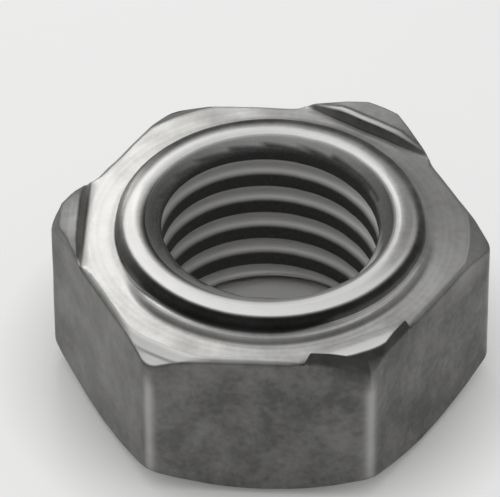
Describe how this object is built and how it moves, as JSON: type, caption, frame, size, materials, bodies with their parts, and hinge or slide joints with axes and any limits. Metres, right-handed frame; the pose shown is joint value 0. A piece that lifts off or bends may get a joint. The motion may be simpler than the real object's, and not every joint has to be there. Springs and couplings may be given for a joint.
{
  "type": "hexagon weld nut",
  "caption": "Hexagon weld nut with a round pilot collar, weld projections on alternate corners and a coarse right-hand threaded bore.",
  "frame": {"origin": "centre of the flat seat face, on the thread axis", "axes": "+Z along the thread axis towards the pilot collar; two flats are square to Y; a corner lies on each side of X, the projection corner at -X"},
  "size_m": [0.0216, 0.019, 0.0098],
  "materials": {
    "steel": "bare steel: satin weld face and collar, dull darker flats"
  },
  "bodies": {
    "root": {"weld_nut": "steel"}
  },
  "joints": []
}
